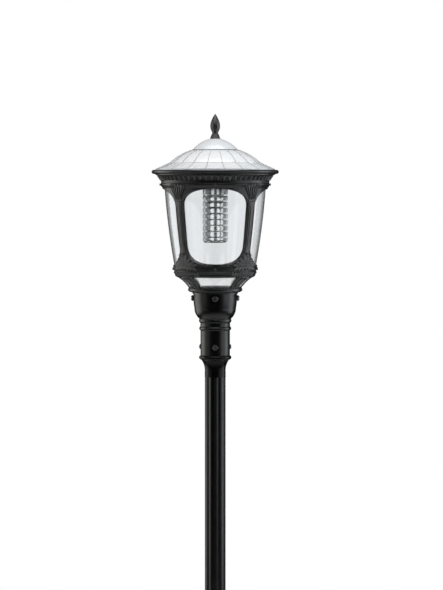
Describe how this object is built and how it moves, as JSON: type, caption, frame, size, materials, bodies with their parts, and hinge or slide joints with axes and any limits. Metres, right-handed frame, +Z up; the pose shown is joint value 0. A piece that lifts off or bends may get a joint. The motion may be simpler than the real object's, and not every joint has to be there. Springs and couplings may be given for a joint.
{
  "type": "solar street lamp",
  "caption": "Round post-top lantern with ribbed clear lens, louvred LED column and solar-cell roof with finial, on a fluted post with a bolted base flange.",
  "frame": {"origin": "centre of the base flange's underside", "axes": "+Z up along the post; the front window faces -Y and the four lantern ribs stand at 45 degrees between +X and +Y"},
  "size_m": [0.4639, 0.464, 2.4],
  "materials": {
    "black_casting": "satin black powder coat on cast aluminium",
    "black_tube": "satin black powder coat on fluted steel tube",
    "black_screw": "black-finished steel screws",
    "screw_steel": "bright stainless steel",
    "clear_lens": "clear moulded polycarbonate, smooth",
    "seal_rubber": "matt black rubber",
    "roof_metal": "glossy silver-white coated metal",
    "solar_glass": "laminated pale solar cells under a gloss face",
    "plain_aluminium": "plain aluminium",
    "bright_aluminium": "bright turned and polished aluminium",
    "battery_wrap": "shrink-wrapped cells",
    "dark_plastic": "moulded black plastic",
    "rocker_plastic": "dull red moulded rocker",
    "board_green": "green circuit board",
    "board_white": "white metal-core circuit board",
    "led_phosphor": "yellow phosphor under a clear dome",
    "lead_insulation": "black sleeve over two cores"
  },
  "bodies": {
    "post": {"base_flange": "black_casting", "flange_screws": "screw_steel", "post_tube": "black_tube", "post_adaptor": "black_casting"},
    "lantern": {"fitter": "black_casting", "clamp_screws": "black_screw", "bell_screws": "black_screw", "lower_cage": "black_casting", "lower_lens": "clear_lens", "lower_lens_foot_seal": "seal_rubber", "lower_lens_head_seal": "seal_rubber", "lens_retainer": "black_casting", "upper_cage": "black_casting", "main_lens": "clear_lens", "lens_foot_seal": "seal_rubber", "lens_head_seal": "seal_rubber", "ring_screws": "black_screw", "roof_screws": "black_screw"},
    "roof": {"cornice": "black_casting", "roof_seal": "seal_rubber", "roof_pan": "roof_metal", "solar_cells_upper": "solar_glass", "solar_cells_lower": "solar_glass", "seam_strips": "roof_metal", "cap_seal": "seal_rubber", "roof_cap": "roof_metal", "finial_stud": "screw_steel", "finial_nut": "screw_steel", "ceiling_plate": "plain_aluminium", "plate_screws": "screw_steel", "battery_cells": "battery_wrap", "battery_tray": "dark_plastic", "battery_links": "screw_steel", "battery_cover": "dark_plastic", "battery_strap": "plain_aluminium", "controller_case": "dark_plastic", "controller_board": "board_green", "controller_parts": "dark_plastic", "controller_lid": "dark_plastic", "panel_lead": "lead_insulation", "battery_lead": "lead_insulation", "led_lead": "lead_insulation", "switch_body": "dark_plastic", "led_collar": "bright_aluminium", "led_collar_screws": "screw_steel", "led_core": "plain_aluminium", "led_boards": "board_white", "led_chips": "led_phosphor", "led_end_cap": "bright_aluminium", "end_cap_screws": "screw_steel", "louvre_rods": "screw_steel", "louvre_ring_1": "bright_aluminium", "louvre_ring_2": "bright_aluminium", "louvre_ring_3": "bright_aluminium", "louvre_ring_4": "bright_aluminium", "louvre_ring_5": "bright_aluminium", "louvre_ring_6": "bright_aluminium", "louvre_ring_7": "bright_aluminium"},
    "finial": {"finial": "black_casting"},
    "rocker": {"switch_rocker": "rocker_plastic"}
  },
  "joints": [
    {"name": "lantern_turn", "type": "hinge", "parent": "post", "child": "lantern", "pos_m": [0, 0, 1.521], "axis": [0, 0, 1], "continuous": true},
    {"name": "roof_lift", "type": "slide", "parent": "lantern", "child": "roof", "axis": [0, 0, 1], "range_m": [0, 0.32]},
    {"name": "finial_turn", "type": "hinge", "parent": "roof", "child": "finial", "pos_m": [0, 0, 2.309], "axis": [0, 0, 1], "continuous": true},
    {"name": "power_switch", "type": "hinge", "parent": "roof", "child": "rocker", "pos_m": [0.105, 0, 2.1442], "axis": [0, 1, 0], "range_deg": [-16, 0]}
  ]
}
